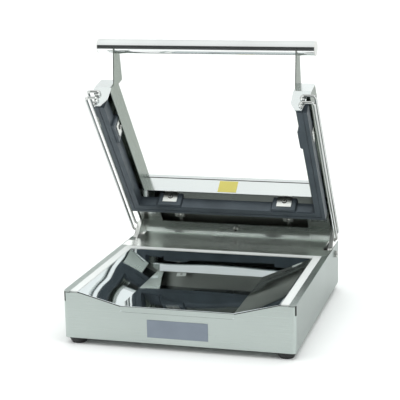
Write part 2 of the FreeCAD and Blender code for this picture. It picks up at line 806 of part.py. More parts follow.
def make_return_spring(name, side):
    """A torsion spring round the bush, between the bracket and the cheek, its wire eight-sided."""
    pitch = size("coil_pitch")
    wire = size("coil_wire_radius")
    radius = size("coil_radius")
    leg = FreeCAD.Vector(0, size("coil_leg"), 0)
    corners = []
    for k in range(9):
        turn = 2 * math.pi * (k + 0.5) / 8
        corners.append(FreeCAD.Vector(radius + wire * math.cos(turn), 0, wire * math.sin(turn)))
    section = Part.Face(Part.makePolygon(corners))
    pieces = [section.extrude(-leg)]
    for k in range(int(size("coil_turns") * 2)):
        # Each half turn leans a little about the cross line, so that the next one carries on from it.
        centre = FreeCAD.Vector(0, 0, (2 * k + 1) * pitch / 4)
        axis = FreeCAD.Vector((-1) ** k * pitch / 4, 0, radius).normalize()
        pieces.append(section.revolve(centre, axis, 180))
        section = section.rotated(centre, axis, 180)
    pieces.append(section.extrude(leg))
    spring = pieces[0].fuse(pieces[1:])
    across = FreeCAD.Rotation(FreeCAD.Vector(0, 1, 0), 90)
    legs_up = FreeCAD.Rotation(FreeCAD.Vector(0, 0, 1), 180)
    start = size("bracket_outer") + size("end_gap") + wire
    spot = FreeCAD.Vector(start, size("pivot_y"), size("pivot_z"))
    spring = spring.transformed(FreeCAD.Placement(spot, across * legs_up).toMatrix(), True)
    if side < 0:
        spring = spring.mirror(FreeCAD.Vector(), FreeCAD.Vector(1, 0, 0))
    set_shape("return_spring_" + name, spring, place_on_base)


# Head casing

def head_side_outline():
    """The side plate and its strut, seen from the side with the head closed."""
    turned = []
    half_top = "strut_top_width / 2"
    for across, up in (("-strut_front_foot", "-strut_drop"), ("-" + half_top, "-strut_neck"),
                       ("-" + half_top, "0"), (half_top, "0"), (half_top, "-strut_neck"),
                       ("strut_rear_foot", "-strut_drop")):
        along = "-handle_reach + (%s) * cos(open_angle * 1 deg) - (%s) * sin(open_angle * 1 deg)"
        rise = "handle_z + (%s) * sin(open_angle * 1 deg) + (%s) * cos(open_angle * 1 deg)"
        turned.append((along % (across, up), rise % (across, up)))
    corner = ("-arm_nose", "nose_z")
    jog = ("-arm_nose * 0.6", "nose_z + (head_top - nose_z) * 0.4")
    back = ("arm_nose / 2", "head_top")
    tail = [("beam_front", "head_top"), ("beam_front", "arm_low"), ("-arm_nose", "arm_low")]
    return [corner, jog] + turned + [back] + tail


def make_side_plate(name, side):
    """The arm's inner wall and the strut that rises from it to the handle."""
    body = new_body()
    start, length = span(side, "wall_inner", "wall_outer")
    pad(body, "YZ", start, length, [head_side_outline()])
    start, length = span(side, "wall_inner - 1", "wall_outer + 1")
    cut(body, "YZ", start, length, circles=[("-handle_reach", "handle_z", "handle_radius + element_gap")])
    keep(body, "side_plate_" + name, place_on_head)


def make_arm_cover(name, side):
    """The arm's top and outer wall, folded from one sheet and bevelled at the front."""
    body = new_body()
    section = [("wall_outer", "head_top - panel_sheet"), ("cover_inner", "head_top - panel_sheet"),
               ("cover_inner", "cover_low"), ("head_width / 2", "cover_low"),
               ("head_width / 2", "head_top"), ("wall_outer", "head_top")]
    if side < 0:
        section = mirror_outline(section)
    pad(body, "XZ", "-arm_nose", "hood_front + arm_nose", [section])
    bevel = [("0", "head_top"), ("-arm_nose", "nose_z"), ("-arm_nose - 1", "nose_z"),
             ("-arm_nose - 1", "head_top + 1"), ("0", "head_top + 1")]
    start, length = span(side, "wall_inner - 1", "head_width / 2 + 1")
    cut(body, "YZ", start, length, [bevel])
    keep(body, "arm_cover_" + name, place_on_head)


def make_end_plate(name, side):
    """The arm's front closing plate, bent to the bevel and tapered to its lower tip."""
    body = new_body()
    start, length = span(side, "wall_inner", "head_width / 2")
    lean = "(panel_sheet * 0.91)"
    rise = "(panel_sheet * 0.43)"
    outline = [("-arm_nose", "nose_z"), ("0", "head_top"), ("-" + lean, "head_top + " + rise),
               ("-arm_nose - panel_sheet", "nose_z + " + rise),
               ("-arm_nose - panel_sheet", "body_height - end_plate_drop"),
               ("-arm_nose", "body_height - end_plate_drop")]
    pad(body, "YZ", start, length, [outline])
    inner_trim = [("wall_inner - 1", "body_height + end_plate_tip - 3"),
                  ("wall_inner + end_plate_drop", "body_height - end_plate_drop - 1"),
                  ("wall_inner - 1", "body_height - end_plate_drop - 1")]
    outer_trim = [("head_width / 2 + 1", "cover_low"), ("head_width / 2 - 5", "cover_low"),
                  ("head_width / 2 - 5", "body_height + end_plate_tip"),
                  ("head_width / 2 - end_plate_tip", "body_height - end_plate_drop - 1"),
                  ("head_width / 2 + 1", "body_height - end_plate_drop - 1")]
    trims = [inner_trim, outer_trim]
    if side < 0:
        trims = [mirror_outline(trim) for trim in trims]
    cut(body, "XZ", "-arm_nose - panel_sheet - 1", "panel_sheet + 2", trims)
    strut_side = box(*span_ends(side, "wall_inner - 1", "wall_outer"), "nose_z", "head_top + 1")
    cut(body, "XZ", "-arm_nose - panel_sheet - 1", "arm_nose + panel_sheet + 2", [strut_side])
    keep(body, "end_plate_" + name, place_on_head)


def make_hood():
    """The rear beam and hood: bevelled front wall, flat top, sloping back and side walls."""
    body = new_body()
    solid = [("hood_front", "arm_low"), ("hood_rear", "arm_low"),
             ("hood_rear", "body_height + hood_rear_rise"), ("hood_front", "head_top")]
    pad(body, "YZ", "-head_width / 2", "head_width", [solid])
    hollow = [("hood_front - 1", "arm_low - 1"), ("hood_rear - panel_sheet", "arm_low - 1"),
              ("hood_rear - panel_sheet", "body_height + hood_rear_rise - panel_sheet"),
              ("hood_front - 1", "head_top - panel_sheet")]
    cut(body, "YZ", "-cover_inner", "cover_inner * 2", [hollow])
    front = [("beam_front", "arm_low"), ("beam_front + panel_sheet", "arm_low"),
             ("beam_front + panel_sheet", "head_top - beam_bevel - panel_sheet / 2"),
             ("beam_front + beam_bevel", "head_top - panel_sheet"),
             ("hood_front + panel_sheet", "head_top - panel_sheet"),
             ("hood_front + panel_sheet / 2", "head_top"),
             ("hood_front", "head_top"),
             ("beam_front + beam_bevel - panel_sheet / 2", "head_top"),
             ("beam_front", "head_top - beam_bevel")]
    pad(body, "YZ", "-wall_outer", "wall_outer * 2", [front])
    keep(body, "rear_hood", place_on_head)


def make_underplate():
    """The plate that closes the hood from below, round the open cavity, and its cross plate."""
    body = new_body()
    half = "cheek_inner - end_gap"
    rear = "hood_rear - panel_sheet"
    inset = "cross_front + panel_sheet * 2"
    outline = [("-(%s)" % half, "cavity_front"), ("-cavity_width / 2", "cavity_front"),
               ("-cavity_width / 2", inset), ("cavity_width / 2", inset),
               ("cavity_width / 2", "cavity_front"), (half, "cavity_front"),
               (half, rear), ("-(%s)" % half, rear)]
    pad(body, "XY", "arm_low", "panel_sheet", [outline])
    cut(body, "XY", "arm_low - 1", "panel_sheet + 2",
        circles=[("0", "(cross_front + cross_rear) / 2", "cross_screw_radius")])
    keep(body, "hood_underplate", place_on_head)
    cross = new_body()
    outline = box("-cavity_width / 2", "cavity_width / 2", "cross_front", "cross_rear")
    pad(cross, "XY", "arm_low - panel_sheet", "panel_sheet", [outline])
    cut(cross, "XY", "arm_low - panel_sheet - 1", "panel_sheet + 2",
        circles=[("0", "(cross_front + cross_rear) / 2", "cross_screw_radius")])
    keep(cross, "cross_plate", place_on_head)
    middle = "(cross_front + cross_rear) / 2"
    head = cylinder("z", ("0", middle, "arm_low - panel_sheet - cross_head_height"),
                    "cross_head_radius", "cross_head_height")
    shank = cylinder("z", ("0", middle, "arm_low - panel_sheet"), "cross_screw_radius",
                     "panel_sheet * 2 + 4")
    keep(fuse([head, shank]), "cross_plate_screw", place_on_head)


def make_patch():
    """A plain coloured patch on the front wall of the rear beam."""
    body = new_body()
    low = "arm_low + patch_rise"
    outline = box("-patch_width / 2", "patch_width / 2", low, low + " + patch_height")
    pad(body, "XZ", "beam_front - patch_sheet", "patch_sheet", [outline])
    keep(body, "blank_patch", place_on_head)


# Heated casting

def make_casting():
    """The U-shaped aluminium casting with its raised blocks and clip bosses."""
    body = new_body()
    bar = strip_ring("heater_inner", "strip_outer", "heater_rear - heater_width", "heater_rear", "0")
    pad(body, "XY", "heater_low", "heater_top - heater_low", [bar])
    rear_boss = box("rear_boss_place - boss_length / 2", "rear_boss_place + boss_length / 2",
                    "heater_rear - heater_width - boss_reach", "heater_rear")
    arm_boss = box("heater_inner - arm_boss_reach", "strip_outer",
                   "arm_boss_place - boss_length / 2", "arm_boss_place + boss_length / 2")
    outlines = both_sides(rear_boss) + both_sides(arm_boss)
    bosses = pad(body, "XY", "body_height + boss_foot", "boss_top - body_height - boss_foot", outlines)
    doc.recompute()
    corners = [("Edge%d" % (k + 1)) for k, edge in enumerate(bosses.Shape.Edges) if boss_corner(edge)]
    rounded = body.newObject("PartDesign::Fillet", "Round")
    rounded.Base = (bosses, corners)
    bind(rounded, "Radius", "boss_round")
    inner_face = "heater_rear - heater_width"
    middle = box("-block_length / 2", "block_length / 2", inner_face + " - block_reach", inner_face)
    pad(body, "XY", "heater_low", "block_rise", [middle])
    block_end = "rear_boss_place + boss_length / 2 + 3"
    end = box(block_end, block_end + " + end_block_length", inner_face + " - block_reach", inner_face)
    pad(body, "XY", "body_height + boss_foot", "end_block_rise", both_sides(end))
    channel = "(element_radius + element_gap)"
    groove = strip_ring("bar_middle - " + channel, "bar_middle + " + channel,
                        "bar_middle_rear - " + channel, "bar_middle_rear + " + channel, "-1")
    inner = "(bar_middle - %s)" % channel
    rear_inner = "(bar_middle_rear - %s)" % channel
    groove[2:4] = [("-" + inner, rear_inner + " - element_bend * 0.6"),
                   ("-" + inner + " + element_bend * 0.6", rear_inner),
                   (inner + " - element_bend * 0.6", rear_inner),
                   (inner, rear_inner + " - element_bend * 0.6")]
    cut(body, "XY", "heater_top - element_radius", "boss_top - heater_top + element_radius + 1", [groove])
    line = "(heater_width - face_groove_inset)"
    groove = strip_ring("heater_inner + " + line, "heater_inner + %s + face_groove" % line,
                        "heater_rear - heater_width + " + line,
                        "heater_rear - heater_width + %s + face_groove" % line, "-1")
    cut(body, "XY", "heater_low - 1", "face_groove + 1", [groove])
    hole = "body_height + clip_screw_rise"
    cut(body, "XZ", "heater_rear - heater_width - boss_reach - 1", "clip_screw_length + 1",
        circles=[("rear_boss_place", hole, "clip_screw_radius"),
                 ("-rear_boss_place", hole, "clip_screw_radius")])
    for side in SIDES.values():
        face = "heater_inner - arm_boss_reach"
        start, length = span(side, face + " - 1", face + " + clip_screw_length")
        cut(body, "YZ", start, length, circles=[("arm_boss_place", hole, "clip_screw_radius")])
    keep(body, "heater_casting", place_on_head)


def boss_corner(edge):
    """True for the upright edges of the clip bosses on the side that faces into the U."""
    ends = [vertex.Point for vertex in edge.Vertexes]
    upright = abs(ends[0].x - ends[-1].x) < 0.01 and abs(ends[0].y - ends[-1].y) < 0.01
    rear_face = size("heater_rear") - size("heater_width") - size("boss_reach")
    arm_face = size("heater_inner") - size("arm_boss_reach")
    at_rear = abs(ends[0].y - rear_face) < 0.01
    at_arm = abs(abs(ends[0].x) - arm_face) < 0.01
    return upright and (at_rear or at_arm)


def make_element():
    """The tubular heating element that lies in the casting's groove."""
    front = size("element_front")
    reach = size("bar_middle")
    rear = size("bar_middle_rear")
    level = size("heater_top")
    corners = [FreeCAD.Vector(-reach, front, level), FreeCAD.Vector(-reach, rear, level),
               FreeCAD.Vector(reach, rear, level), FreeCAD.Vector(reach, front, level)]
    path = bent_path(corners, [size("element_bend")] * 2)
    tube = rod_along(path, size("element_radius") - size("element_gap"))
    set_shape("heating_element", tube, place_on_head)
    ends = []
    for side in SIDES.values():
        place = ("%d * bar_middle" % side, "element_front - terminal_length", "heater_top")
        ends.append(cylinder("y", place, "terminal_radius", "terminal_length"))
    group("element_terminals", place_on_head, ends)


def saddle(inner, outer):
    """A clip's section, across and up: two legs over a boss, joined by a web on top."""
    low = "(boss_top - clip_drop)"
    top = "(boss_top + end_gap)"
    return [(inner + " - clip_sheet", low), (inner, low), (inner, top), (outer, top), (outer, low),
            (outer + " + clip_sheet", low), (outer + " + clip_sheet", top + " + clip_sheet"),
            (inner + " - clip_sheet", top + " + clip_sheet")]


def make_rear_clip(name, side):
    """A sprung saddle clip over a rear boss; gives back its screw and its hanger stud."""
    clip = new_body()
    centre = "%d * rear_boss_place" % side
    level = "body_height + clip_screw_rise"
    face = "(heater_rear - heater_width - boss_reach)"
    pad(clip, "YZ", centre + " - clip_width / 2", "clip_width", [saddle(face, "(heater_rear + fit_gap)")])
    cut(clip, "XZ", face + " - 2", "2.5", circles=[(centre, level, "clip_screw_radius")])
    keep(clip, "rear_clip_" + name, place_on_head)
    shank = cylinder("y", (centre, face + " - clip_sheet", level), "clip_screw_radius", "clip_screw_length")
    head = cylinder("y", (centre, face + " - clip_sheet - clip_head_height", level),
                    "clip_head_radius", "clip_head_height")
    return fuse([shank, head]), make_hanger(centre, "bar_middle_rear")


def make_arm_clip(name, side):
    """The same clip over the boss on one arm of the casting."""
    clip = new_body()
    level = "body_height + clip_screw_rise"
    face = "(heater_inner - arm_boss_reach)"
    section = saddle(face, "(strip_outer + fit_gap)")
    if side < 0:
        section = mirror_outline(section)
    pad(clip, "XZ", "arm_boss_place - clip_width / 2", "clip_width", [section])
    start, length = span(side, face + " - 2", face + " + 0.5")
    cut(clip, "YZ", start, length, circles=[("arm_boss_place", level, "clip_screw_radius")])
    keep(clip, "arm_clip_" + name, place_on_head)
    start, length = span(side, face + " - clip_sheet", face + " - clip_sheet + clip_screw_length")
    shank = cylinder("x", (start, "arm_boss_place", level), "clip_screw_radius", length)
    start, length = span(side, face + " - clip_sheet - clip_head_height", face + " - clip_sheet")
    head = cylinder("x", (start, "arm_boss_place", level), "clip_head_radius", length)
    return fuse([shank, head]), make_hanger("%d * bar_middle" % side, "arm_boss_place")


def make_hanger(across, along):
    """The stud between a clip and the sheet above it."""
    low = "boss_top + end_gap + clip_sheet"
    return cylinder("z", (across, along, low), "hanger_radius", "head_top - panel_sheet - (%s)" % low)


def make_clips():
    """The four clips that hold the casting, their screws and their hanger studs."""
    pairs = []
    for name, side in SIDES.items():
        pairs.append(make_rear_clip(name, side))
        pairs.append(make_arm_clip(name, side))
    group("clip_screws", place_on_head, [screw for screw, stud in pairs])
    group("clip_hangers", place_on_head, [stud for screw, stud in pairs])


# Handle and guard rods

def make_handle():
    """The chromed tube across both struts, with a nearly flat cap pushed into each end."""
    bore = "(handle_radius - handle_wall)"
    half = "(handle_length / 2 - handle_cap)"
    tube = [("-" + half, bore), ("-" + half, "handle_radius"), (half, "handle_radius"), (half, bore)]
    at = ("0", "-handle_reach", "handle_z")
    turned_piece("handle_tube", place_on_head, tube, at, "x")
    for name, side in SIDES.items():
        sign = "%d * " % side
        cap = [(sign + "(%s - handle_plug)" % half, "0"), (sign + "(%s - handle_plug)" % half, bore),
               (sign + half, bore), (sign + half, "handle_radius"),
               (sign + "(%s + handle_cap * 0.5)" % half, "handle_radius"),
               (sign + "(%s + handle_cap)" % half, "handle_radius * 0.92"),
               (sign + "(%s + handle_cap)" % half, "0")]
        turned_piece("handle_cap_" + name, place_on_head, cap, at, "x")


def make_rods():
    """Two chromed rods on each side that keep fingers off the hot casting."""
    outer = size("rod_x")
    touch = size("rod_radius") + size("rod_gap")
    rear = size("pivot_y") - size("cheek_radius") + size("cheek_sheet") + touch
    front = -size("arm_nose") - size("panel_sheet") - touch
    tail = outer - size("rod_hook_reach") + size("rod_hook_tail")
    for height in ("upper", "lower"):
        level = size("body_height") + size("rod_%s_rise" % height)
        for name, side in SIDES.items():
            def point(x, y, z):
                return FreeCAD.Vector(side * x, y, z)
            corners = [point(size("cheek_outer") + 1, rear, level), point(outer, rear, level),
                       point(outer, front, level), point(outer - size("rod_hook_reach"), front, level),
                       point(outer - size("rod_hook_reach"), front, level - size("rod_hook_drop")),
                       point(tail, front, level - size("rod_hook_drop"))]
            wide = size("rod_bend")
            tight = size("rod_hook_bend")
            path = bent_path(corners, [wide, wide, tight, tight])
            rod = rod_along(path, size("rod_radius"))
            set_shape("guard_rod_%s_%s" % (height, name), rod, place_on_head)


# Controls

def make_controls():
    """Switch, thermostat, cable gland and terminal block, all on the rear panel."""
    face = "base_depth"
    body = new_body()
    low_z = "control_height - switch_height / 2"
    shell = box("switch_place - switch_width / 2 + fit_gap", "switch_place + switch_width / 2 - fit_gap",
                low_z + " + fit_gap", "control_height + switch_height / 2 - fit_gap")
    rim = box("switch_place - switch_width / 2 - switch_rim", "switch_place + switch_width / 2 + switch_rim",
              low_z + " - switch_rim", "control_height + switch_height / 2 + switch_rim")
    well = box("switch_place - switch_width / 2 + switch_rim",
               "switch_place + switch_width / 2 - switch_rim",
               low_z + " + switch_rim", "control_height + switch_height / 2 - switch_rim")
    pad(body, "XZ", face + " - switch_depth", "switch_depth", [shell])
    pad(body, "XZ", face, "switch_rim", [rim])
    cut(body, "XZ", face + " - switch_depth / 2", "switch_depth / 2 + switch_rim + 1", [well])
    pin = "(switch_width / 2 - switch_rim / 2)"
    cut(body, "YZ", "switch_place - %s - running_gap" % pin, "(%s + running_gap) * 2" % pin,
        circles=[("rocker_y", "control_height", "rocker_pin + running_gap")])
    keep(body, "switch_body", place_on_base)
    rocker = new_body()
    deep = "(rocker_y - rocker_pivot * 0.8)"
    tall = "(switch_height / 2 - switch_rim - rocker_gap * 3)"
    outline = [(deep, "control_height - 2"), (deep, "control_height + 2"),
               (face + " + switch_rim", "control_height + " + tall),
               (face + " + switch_rim + rocker_crown", "control_height + " + tall),
               (face + " + switch_rim + rocker_crown / 3", "control_height"),
               (face + " + switch_rim + rocker_crown", "control_height - " + tall),
               (face + " + switch_rim", "control_height - " + tall)]
    wide = "(switch_width - switch_rim * 2 - rocker_gap * 2)"
    pad(rocker, "YZ", "switch_place - %s / 2" % wide, wide, [outline])
    pad(rocker, "YZ", "switch_place - " + pin, pin + " * 2",
        circles=[("rocker_y", "control_height", "rocker_pin")])
    keep(rocker, "switch_rocker", place_on_rocker)
    thermostat = new_body()
    outline = box("knob_place - thermostat_width / 2", "knob_place + thermostat_width / 2",
                  "control_height - thermostat_width / 2", "control_height + thermostat_width / 2")
    pad(thermostat, "XZ", "base_depth - panel_sheet - thermostat_depth", "thermostat_depth", [outline])
    cut(thermostat, "XZ", "base_depth - panel_sheet - thermostat_depth / 2", "thermostat_depth / 2 + 1",
        circles=[("knob_place", "control_height", "knob_shaft_radius + running_gap")])
    keep(thermostat, "thermostat", place_on_base)
    shaft = [("-thermostat_depth / 2", "0"), ("-thermostat_depth / 2", "knob_shaft_radius"),
             ("knob_height - 3", "knob_shaft_radius"), ("knob_height - 3", "0")]
    at = ("knob_place", "base_depth", "control_height")
    turned_piece("thermostat_shaft", place_on_base, shaft, at, "y")
    knob = [("end_gap * 2", "knob_shaft_radius"), ("end_gap * 2", "knob_radius"),
            ("knob_height * 0.3", "knob_radius"),
            ("knob_height * 0.4", "knob_radius * 0.82"), ("knob_height * 0.93", "knob_radius * 0.75"),
            ("knob_height", "knob_radius * 0.68"), ("knob_height", "0"), ("knob_height - 3", "0"),
            ("knob_height - 3", "knob_shaft_radius")]
    turned_piece("thermostat_knob", place_on_base, knob, at, "y")
    gland = [("-5", "gland_bore"), ("-5", "gland_radius"), ("-panel_sheet", "gland_radius"),
             ("-panel_sheet", "gland_radius - 2"), ("0", "gland_radius - 2"), ("0", "gland_radius"),
             ("gland_length * 0.45", "gland_radius"), ("gland_length * 0.55", "gland_radius * 0.85"),
             ("gland_length", "gland_radius * 0.65"), ("gland_length", "gland_bore")]
    turned_piece("cable_gland", place_on_base, gland, ("-gland_place", "base_depth", "control_height"), "y")
    terminals = new_body()
    outline = box("-block_size", "block_size / 2",
                  "strip_rear + block_size", "strip_rear + block_size * 1.6")
    pad(terminals, "XY", "panel_sheet", "block_size * 0.6", [outline])
    keep(terminals, "terminal_block", place_on_base)


# Build, check and write

def check_document():
    for thing in doc.Objects:
        faults = [word for word in ("Invalid", "Error") if word in thing.State]
        if faults:
            raise RuntimeError("%s is %s" % (thing.Label, faults))
        if thing.TypeId == "PartDesign::Pocket":
            before = thing.BaseFeature.Shape.Volume
            if thing.Shape.Volume > before - 0.001:
                raise RuntimeError("%s cuts nothing" % thing.Label)
    for label, thing in NODES.items():
        if thing.Shape.isNull() or not thing.Shape.isValid():
            raise RuntimeError("%s has no valid shape" % label)


fill_sheet()
make_base_casing()
make_bottom_plate()
make_feet()
make_rear_panel()
make_rear_deck()
make_pan()
make_strips()
make_name_plate()
make_hinge()
for side_name, side_sign in SIDES.items():
    make_side_plate(side_name, side_sign)
    make_arm_cover(side_name, side_sign)
    make_end_plate(side_name, side_sign)
make_hood()
make_underplate()
make_patch()
make_casting()
make_element()
make_clips()
make_handle()
make_rods()
make_controls()
doc.recompute()
check_document()

os.makedirs("parts", exist_ok=True)
for node, piece in NODES.items():
    piece.Shape.exportStep(os.path.join("parts", node + ".step"))
print(len(NODES), "nodes")
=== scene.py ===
import math

import bmesh
import bpy
from mathutils import Matrix, Vector


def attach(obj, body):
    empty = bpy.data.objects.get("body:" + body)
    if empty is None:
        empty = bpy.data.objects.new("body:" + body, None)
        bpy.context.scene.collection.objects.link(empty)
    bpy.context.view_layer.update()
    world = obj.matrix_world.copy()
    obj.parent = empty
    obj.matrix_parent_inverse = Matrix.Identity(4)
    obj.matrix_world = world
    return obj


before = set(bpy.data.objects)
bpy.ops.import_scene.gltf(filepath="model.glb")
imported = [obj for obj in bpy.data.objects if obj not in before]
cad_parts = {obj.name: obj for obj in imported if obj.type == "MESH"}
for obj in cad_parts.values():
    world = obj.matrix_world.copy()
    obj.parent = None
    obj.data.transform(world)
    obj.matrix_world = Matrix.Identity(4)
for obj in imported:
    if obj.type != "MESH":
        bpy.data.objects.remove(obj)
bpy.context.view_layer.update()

# The frame's origin lies this far behind the base's front and below its sheet, in metres.
ORIGIN_Y = 0.2018139
FOOT = 0.011
# At rest the head stands open by this angle about the pivot, which lies along X.
OPEN = math.radians(51.5)
PIVOT = Vector((0.0, 0.357 - ORIGIN_Y, 0.062 + FOOT))


# Materials

def ramp(tree, source, low, high, from_low=0.3, from_high=0.7):
    """Bring a value, by default a noise's usual range, to run from low to high."""
    node = tree.nodes.new("ShaderNodeMapRange")
    node.inputs["From Min"].default_value = from_low
    node.inputs["From Max"].default_value = from_high
    node.inputs["To Min"].default_value = low
    node.inputs["To Max"].default_value = high
    tree.links.new(source, node.inputs["Value"])
    return node.outputs["Result"]


def noise(tree, scale, detail, turn=0.0):
    """Noise in the model's own place, stretched by a scale for each axis after a turn about X."""
    place = tree.nodes.new("ShaderNodeTexCoord")
    first = tree.nodes.new("ShaderNodeMapping")
    first.inputs["Rotation"].default_value = (turn, 0, 0)
    second = tree.nodes.new("ShaderNodeMapping")
    second.inputs["Scale"].default_value = scale
    tree.links.new(place.outputs["Object"], first.inputs["Vector"])
    tree.links.new(first.outputs["Vector"], second.inputs["Vector"])
    node = tree.nodes.new("ShaderNodeTexNoise")
    node.inputs["Scale"].default_value = 1.0
    node.inputs["Detail"].default_value = detail
    tree.links.new(second.outputs["Vector"], node.inputs["Vector"])
    return node.outputs["Fac"]


def surface(name, color, metallic, roughness, spread=0.06, grain=(60, 60, 60), turn=0.0,
            bump=0.1, depth=0.00005, mottle=0.06, mottle_scale=(9, 9, 9), detail=3.0,
            edge=0.0, rim=1.0):
    """One finish: its colour drifts gently, and its gloss and its bump follow a grain.

    An edge is the radius that its corners are eased by, and a rim below 1 darkens a metal's rim.
    """
    material = bpy.data.materials.new(name)
    material.use_nodes = True
    tree = material.node_tree
    shader = tree.nodes["Principled BSDF"]
    drift = noise(tree, mottle_scale, 2.0)
    mix = tree.nodes.new("ShaderNodeMix")
    mix.data_type = "RGBA"
    mix.inputs["A"].default_value = [c * (1 - mottle) for c in color] + [1]
    mix.inputs["B"].default_value = [min(c * (1 + mottle), 1.0) for c in color] + [1]
    tree.links.new(ramp(tree, drift, 0.0, 1.0), mix.inputs["Factor"])
    tree.links.new(mix.outputs["Result"], shader.inputs["Base Color"])
    fine = noise(tree, grain, detail, turn)
    gloss = ramp(tree, fine, roughness - spread, roughness + spread)
    tree.links.new(gloss, shader.inputs["Roughness"])
    height = tree.nodes.new("ShaderNodeBump")
    height.inputs["Strength"].default_value = bump
    height.inputs["Distance"].default_value = depth
    tree.links.new(fine, height.inputs["Height"])
    tree.links.new(height.outputs["Normal"], shader.inputs["Normal"])
    if edge:
        ease = tree.nodes.new("ShaderNodeBevel")
        ease.samples = 4
        ease.inputs["Radius"].default_value = edge
        tree.links.new(ease.outputs["Normal"], height.inputs["Normal"])
    shader.inputs["Metallic"].default_value = metallic
    shader.inputs["Specular Tint"].default_value = (rim, rim, rim, 1)
    return material


# Grains: brushed across the part, brushed along the head's arms, and rolled sheet.
ACROSS = (12, 2400, 2400)
ALONG = (2400, 12, 2400)
ROLLED = (5, 40, 40)
EASED = 0.0006

satin = surface("satin_sheet", (0.47, 0.52, 0.50), 1.0, 0.30, 0.035, ACROSS, bump=0.05,
                depth=0.00002, mottle=0.03, edge=EASED, rim=0.7)
satin_arm = surface("satin_arm", (0.315, 0.35, 0.315), 1.0, 0.27, 0.035, ALONG, turn=OPEN,
                    bump=0.05, depth=0.00002, mottle=0.03, edge=EASED, rim=0.7)
bright = surface("bright_sheet", (0.79, 0.82, 0.82), 1.0, 0.16, 0.03, ACROSS, turn=OPEN,
                 bump=0.03, mottle=0.02, edge=EASED)
bevel = surface("bevelled_edge", (0.74, 0.77, 0.77), 1.0, 0.20, 0.03, ACROSS, turn=OPEN,
                bump=0.03, mottle=0.02)
clip = surface("clip_plate", (0.92, 0.93, 0.90), 1.0, 0.34, 0.05, bump=0.05, mottle=0.04)
arm_clip = surface("arm_clip_plate", (0.64, 0.65, 0.62), 1.0, 0.28, 0.05, bump=0.08, mottle=0.08)
deck = surface("polished_deck", (0.95, 0.99, 0.95), 1.0, 0.22, 0.04, ROLLED, bump=0.05,
               mottle=0.04)
under = surface("under_sheet", (0.60, 0.64, 0.61), 1.0, 0.28, 0.04, ROLLED, turn=OPEN, bump=0.05,
                mottle=0.04)
mirror = surface("mirror_sheet", (0.60, 0.65, 0.66), 1.0, 0.04, 0.01, (9, 12, 10), bump=0.5,
                 depth=0.0032, mottle=0.03, detail=0.0)
chrome = surface("bright_chrome", (0.82, 0.83, 0.83), 1.0, 0.05, 0.015, (40, 40, 40), bump=0.05)
rod = surface("chrome_rod", (0.69, 0.70, 0.69), 1.0, 0.05, 0.015, (40, 40, 40), bump=0.05,
              rim=0.1)
zinc = surface("zinc_plate", (0.52, 0.52, 0.50), 1.0, 0.34, 0.07, (300, 300, 300))
wire = surface("spring_wire", (0.36, 0.36, 0.36), 1.0, 0.32, 0.06, (200, 200, 200))
bronze = surface("bronze", (0.42, 0.28, 0.14), 1.0, 0.42, 0.08, (400, 400, 400))
casting = surface("dark_casting", (0.064, 0.081, 0.096), 0.25, 0.44, 0.08, (500, 500, 500),
                  bump=0.25, depth=0.00008, mottle=0.16, mottle_scale=(25, 25, 25))
sheath = surface("element_sheath", (0.14, 0.13, 0.12), 0.9, 0.45, 0.08, (120, 120, 120),
                 mottle=0.2)
silicone = surface("white_silicone", (0.72, 0.745, 0.735), 0.0, 0.48, 0.07, depth=0.0002,
                   mottle=0.035)
pale = surface("pale_plastic", (0.66, 0.66, 0.64), 0.0, 0.36, 0.06, (200, 200, 200))
rubber = surface("black_rubber", (0.018, 0.018, 0.019), 0.0, 0.62, 0.1, (350, 350, 350),
                 bump=0.25, depth=0.0001, mottle=0.25)
black = surface("black_plastic", (0.022, 0.022, 0.023), 0.0, 0.45, 0.06, (800, 800, 800),
                bump=0.25, mottle=0.1)
plate_blue = surface("plate_blue_grey", (0.20, 0.235, 0.285), 0.0, 0.38, 0.05, (150, 150, 150),
                     mottle=0.05, mottle_scale=(30, 30, 30))
yellow = surface("patch_yellow", (0.62, 0.55, 0.13), 0.0, 0.42, 0.05, (120, 120, 120),
                 mottle=0.04)
# Darker metal finishes that stand for painted shade inside the beam and under the hood.
shade_grey = surface("painted_shade_grey", (0.44, 0.45, 0.42), 1.0, 0.34, 0.04, ROLLED, bump=0.05)
beam_shade = surface("painted_shade_beam_inside", (0.13, 0.14, 0.135), 1.0, 0.30, 0.04, ROLLED, bump=0.05)
# One dark finish, both for painted shade in gaps, folds, sockets and behind screws, and for the
# printed dial marks.
shade_and_print_dark = surface("painted_shade_and_dark_print", (0.015, 0.015, 0.015), 0.6, 0.5, 0.05, (200, 200, 200))
white_mark = surface("white_mark", (0.72, 0.72, 0.70), 0.0, 0.5, 0.05, (200, 200, 200))
hood_sheet = surface("hood_sheet", (0.79, 0.82, 0.82), 1.0, 0.16, 0.03, ACROSS, turn=OPEN,
                     bump=0.03, mottle=0.02, edge=EASED)


def paint_shade_below(material, color, low, high):
    """Painted shade: let a finish run into another, darker colour towards the bottom of the piece,
    between two heights in metres.
    """
    tree = material.node_tree
    shader = tree.nodes["Principled BSDF"]
    place = tree.nodes.new("ShaderNodeTexCoord")
    parts = tree.nodes.new("ShaderNodeSeparateXYZ")
    tree.links.new(place.outputs["Object"], parts.inputs["Vector"])
    mix = tree.nodes.new("ShaderNodeMix")
    mix.data_type = "RGBA"
    mix.inputs["A"].default_value = color
    tree.links.new(shader.inputs["Base Color"].links[0].from_socket, mix.inputs["B"])
    tree.links.new(ramp(tree, parts.outputs["Z"], 0.0, 1.0, low, high), mix.inputs["Factor"])
    tree.links.new(mix.outputs["Result"], shader.inputs["Base Color"])


# Painted shade: the polished hood sheet is drawn darker towards its bottom.
paint_shade_below(hood_sheet, (0.46, 0.50, 0.49, 1), low=0.150, high=0.185)

